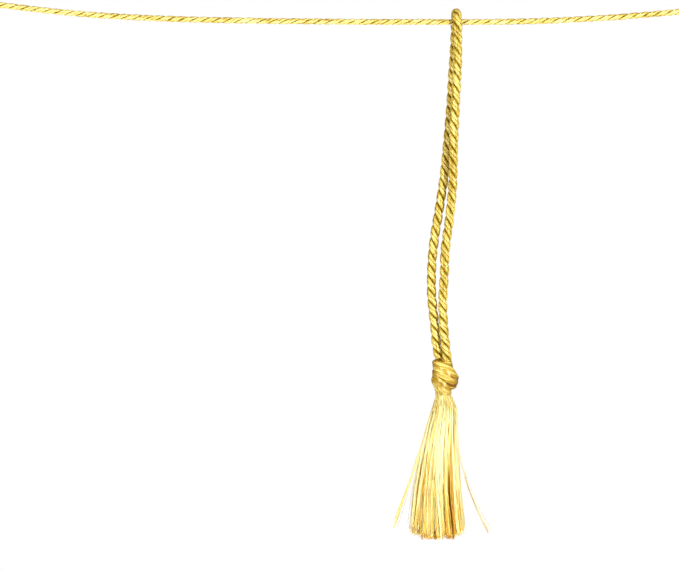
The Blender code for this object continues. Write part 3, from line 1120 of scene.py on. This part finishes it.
            # Some locks keep the knot's deeper tone for a few millimetres, which is also painted shade under
            # the knot
            kept = 1.0 - ramp(below, 3.0 * MM, 5.5 * MM)
            shade = shade - self.neck_tone_and_shade * (1.0 + math.sin(crimp_phase)) * kept
            shades.append(np.maximum(shade, self.least_tone))
            radii.append(np.full(self.steps, self.filament_radius * rng.uniform(0.85, 1.15)))
        return np.array(lines), np.array(shades), np.array(radii)

    def build(self, tubes: FibreTubes) -> list[Object]:
        """Lay the filaments and part them into pieces.

        Args:
            tubes: the tool that thickens fibres.

        Returns:
            The pieces.
        """
        rng = self.rng
        roots = self.sunflower(0.4) * 0.97
        centres = np.array([clump[:2] for clump in CLUMPS])
        home = np.argmin(np.linalg.norm(roots[:, None] - centres[None], axis=2), axis=1)
        parts: dict[Place, list] = {place: [] for place in Place}
        for root, clump in zip(roots, home):
            target = centres[clump] + (root - centres[clump]) * (1.0 - self.draw_in)
            target = target + rng.normal(0.0, 0.018, 2)
            rise = CLUMPS[clump][2] * MM + rng.uniform(0.0, self.lock_uneven)
            bow = rng.normal(0.0, 0.030, 2)
            # The silk between two clumps lies deeper and gets painted shade
            apart = np.sort(np.linalg.norm(centres - root, axis=1))
            between = bell(apart[1], apart[0], self.between_width)
            target = target * (1.0 - 0.14 * between) * (self.flare if clump == 0 else 1.0)
            tone = self.tone + CLUMPS[clump][3] + rng.normal(0.0, 0.18)
            place = Place.FRONT if root[1] < 0.0 else Place.BACK
            if np.linalg.norm(root) < self.heart:
                place = Place.HEART
            filaments = int(self.filaments * rng.uniform(0.6, 1.4))
            parts[place].append(self.lock(root, target, bow, self.end + rise, tone, filaments, between))
        for degrees, reach, height in STRAYS:
            outward = heading(math.radians(degrees))
            _, wide, deep = self.outline(height * MM)
            target = outward * 2.0 * reach * MM / (wide + deep)
            bow = rng.normal(0.0, 0.05, 2)
            parts[Place.STRAYS].append(self.lock(
                outward * 0.93, target, bow, height * MM, self.stray_tone, rng.integers(8, 14), held=False
            ))
        material = self.finish.material()
        made = []
        for place, locks in parts.items():
            lines, shades, radii = (np.concatenate([lock[k] for lock in locks]) for k in range(3))
            obj = tubes.lay(f"skirt_silk_{place.value}", lines, radii, shades, material)
            made.append(hand_in(obj, self.node))
        return made


# The studio


@dataclass
class Studio:
    """Camera, floor and soft light."""

    centre: Vector = Vector((-34.4 * MM, 0.0, -77.7 * MM))
    aim: Vector = Vector((-0.01, 0.0, -0.08))
    distance: float = 0.9
    frame_width: float = 200.3 * MM
    floor_height: float = -0.35
    floor_radius: float = 1.5
    soft_colour: Colour = (1.0, 0.56, 0.13)
    soft_strength: float = 0.24
    floor_colour: Colour = (0.80, 0.84, 0.90)
    floor_glow: float = 0.45

    def camera(self) -> None:
        """Stand the camera level with the tassel's middle, looking along +Y."""
        data = bpy.data.cameras.new("camera")
        data.sensor_width = 36.0
        data.lens = data.sensor_width * self.distance / self.frame_width
        obj = in_scene("camera", data)
        obj.location = self.centre - Vector((0.0, self.distance, 0.0))
        obj.rotation_euler = (math.pi / 2.0, 0.0, 0.0)
        bpy.context.scene.camera = obj

    def lamp(
        self, name: str, place: Sequence[float], size: float, power: float,
        colour: Colour = (1.0, 1.0, 1.0), gloss: bool = True,
    ) -> None:
        """Hang an area lamp that faces the tassel.

        Args:
            name: the lamp's name.
            place: where it hangs.
            size: its side.
            power: its power in watts.
            colour: the light's colour.
            gloss: whether it shows in the silk's gloss.
        """
        data = bpy.data.lights.new(name, "AREA")
        data.shape = "DISK"
        data.size = size
        data.energy = power
        data.color = colour
        obj = in_scene(name, data)
        obj.location = place
        obj.rotation_euler = (self.aim - obj.location).to_track_quat("-Z", "Y").to_euler()
        obj.visible_glossy = gloss

    def world(self) -> None:
        """Light the scene softly, with a plain white backdrop for the camera."""
        world = bpy.data.worlds.new("studio")
        world.use_nodes = True
        bpy.context.scene.world = world
        tree = world.node_tree
        soft = tree.nodes["Background"]
        soft.inputs["Color"].default_value = (*self.soft_colour, 1.0)
        soft.inputs["Strength"].default_value = self.soft_strength
        backdrop = add_node(tree, "ShaderNodeBackground", {"Color": (1.0, 1.0, 1.0, 1.0), "Strength": 1.0})
        seen = add_node(tree, "ShaderNodeLightPath").outputs["Is Camera Ray"]
        mix = add_node(tree, "ShaderNodeMixShader", {0: seen, 1: soft.outputs[0], 2: backdrop.outputs[0]})
        tree.links.new(mix.outputs[0], tree.nodes["World Output"].inputs[0])

    def floor(self) -> None:
        """Lay a pale round floor well below the tassel."""
        bm = bmesh.new()
        bmesh.ops.create_circle(bm, cap_ends=True, segments=96, radius=self.floor_radius)
        bmesh.ops.translate(bm, verts=bm.verts, vec=(0.0, 0.0, self.floor_height))
        material = bpy.data.materials.new("floor_paper")
        material.use_nodes = True
        shader = material.node_tree.nodes["Principled BSDF"]
        shader.inputs["Base Color"].default_value = (*self.floor_colour, 1.0)
        shader.inputs["Roughness"].default_value = 0.9
        shader.inputs["Emission Color"].default_value = (1.0, 0.98, 0.95, 1.0)
        seen = add_node(material.node_tree, "ShaderNodeLightPath").outputs["Is Camera Ray"]
        glow = math_node(material.node_tree, "MULTIPLY", seen, self.floor_glow)
        material.node_tree.links.new(glow, shader.inputs["Emission Strength"])
        mesh_object("floor", bm, material)

    def build(self) -> None:
        """Set up everything round the part."""
        self.camera()
        self.world()
        self.floor()
        self.lamp("key_lamp", (0.50, -0.90, -0.08), size=0.18, power=11.8)
        self.lamp("fill_lamp", (-0.65, -0.90, 0.00), size=0.4, power=8.8)
        self.lamp(
            "back_lamp", (-0.3, 1.0, 0.3), size=0.5, power=11.0, colour=(1.0, 0.88, 0.66), gloss=False
        )
        bpy.context.scene.view_settings.view_transform = "Standard"
        bpy.context.scene.view_settings.look = "None"


def end_knot(name: str, at: Sequence[float], before: Sequence[float]) -> WoundKnot:
    """Describe the knot that ends the line.

    Args:
        name: the CAD node's name.
        at: the line's end in mm.
        before: the route's point before it.

    Returns:
        The knot.
    """
    end, inner = Vector(at) * MM, Vector(before) * MM
    outward = (end - inner).normalized()
    return WoundKnot(
        name=name + "_turns", node=name, slot="line_silk", centre=end + outward * 2.62 * MM, up=outward,
        right=Vector((0.0, 0.0, 1.0)),
        wraps=(
            (-0.75, 1.5, 0.5, 0.70), (-0.25, 0.9, 0.9, 0.95), (0.25, -0.1, 1.1, 0.95),
            (0.75, -1.1, 0.8, 0.85), (1.10, -1.7, 0.4, 0.60),
        ),
        core=((2.9, 0.0, 0.7), (0.0, 0.0, 1.0), (-2.9, 0.0, 0.8)),
        finish=LINE_KNOT_SILK, fibre_finish=LINE_KNOT_FIBRES, fibre_radius=0.05 * MM, fibres=24,
        rings=60, sectors=72, shoulder=1.4, foot=1.0, lay_turns=1.6, steps_per_turn=32, seed=21,
    )


def main() -> None:
    """Build the studio, the cords, the knots and the skirt, in that order."""
    logging.basicConfig(level=logging.INFO, format="%(name)s %(message)s")
    fibre_streaks_group()
    silk_tone_group()
    Studio().build()
    tubes = FibreTubes(sides=3)
    loop = TwistedCord(
        "loop_cord_plies", "loop_cord", "cord_silk", LOOP_ROUTE, diameter=2.8 * MM, pitch=7.2 * MM,
        run_in=1.6 * MM, finish=CORD_SILK,
    )
    line = TwistedCord(
        "line_plies", "line", "line_silk", LINE_ROUTE, diameter=1.83 * MM, pitch=6.67 * MM,
        run_in=0.7 * MM, finish=LINE_SILK, ply_points=20, steps_per_pitch=20,
    )
    loop_piece, line_piece = loop.build(), line.build()
    knot = WoundKnot(
        name="knot_turns", node="knot", slot="knot_silk", centre=Vector((-3.25, 0.0, -104.4)) * MM,
        up=Vector((0.0, 0.0, 1.0)), right=Vector((1.0, 0.0, 0.0)),
        wraps=(
            (-0.85, 4.4, 1.0, 1.45), (-0.50, 3.9, 1.2, 1.70), (-0.25, 3.1, 1.5, 1.90),
            (0.00, 1.15, 1.6, 2.25), (0.13, -0.2, 1.8, 2.05), (0.25, -1.9, 2.45, 1.75),
            (0.50, -1.2, 1.8, 1.80), (0.75, 0.3, 2.15, 1.85), (1.00, -3.5, 1.1, 1.80),
            (1.25, -4.6, 0.7, 1.45), (1.50, -4.8, 0.6, 1.35),
        ),
        core=(
            (5.5, -0.75, 2.4), (3.0, -0.3, 2.6), (0.0, 0.1, 2.4), (-3.5, -0.5, 2.55), (-6.2, -0.45, 1.95),
        ),
        finish=KNOT_SILK, fibre_finish=KNOT_FIBRES, fibre_radius=0.05 * MM, fibres=90,
    )
    skirt = Skirt()

    def skirt_reach(level: float, theta: float) -> float:
        """Reach of the skirt's outline from the knot's axis.

        Args:
            level: height from the knot's centre, in mm.
            theta: direction round the knot's axis.

        Returns:
            The reach in mm.
        """
        centre, wide, deep = (float(value) / MM for value in skirt.outline(knot.centre.z + level * MM))
        shift = centre - knot.centre.x / MM - float(knot.column(knot.core, 1, level))
        return shift * math.cos(theta) + math.hypot(wide * math.cos(theta), deep * math.sin(theta))

    knot.heart()
    knot.turns(tubes)
    knot.run_out(tubes, skirt_reach, count=190)
    ends = []
    for name, at, before in (
        ("line_knot_left", LINE_ROUTE[0], LINE_ROUTE[1]), ("line_knot_right", LINE_ROUTE[-1], LINE_ROUTE[-2])
    ):
        end = end_knot(name, at, before)
        ends += [end.heart(), end.turns(tubes)]
    skirt.build(tubes)
    loop.declared_path()[0]
    loop.declared_path()
    line.declared_path()[0]
    line.declared_path()


if __name__ == "__main__":
    main()
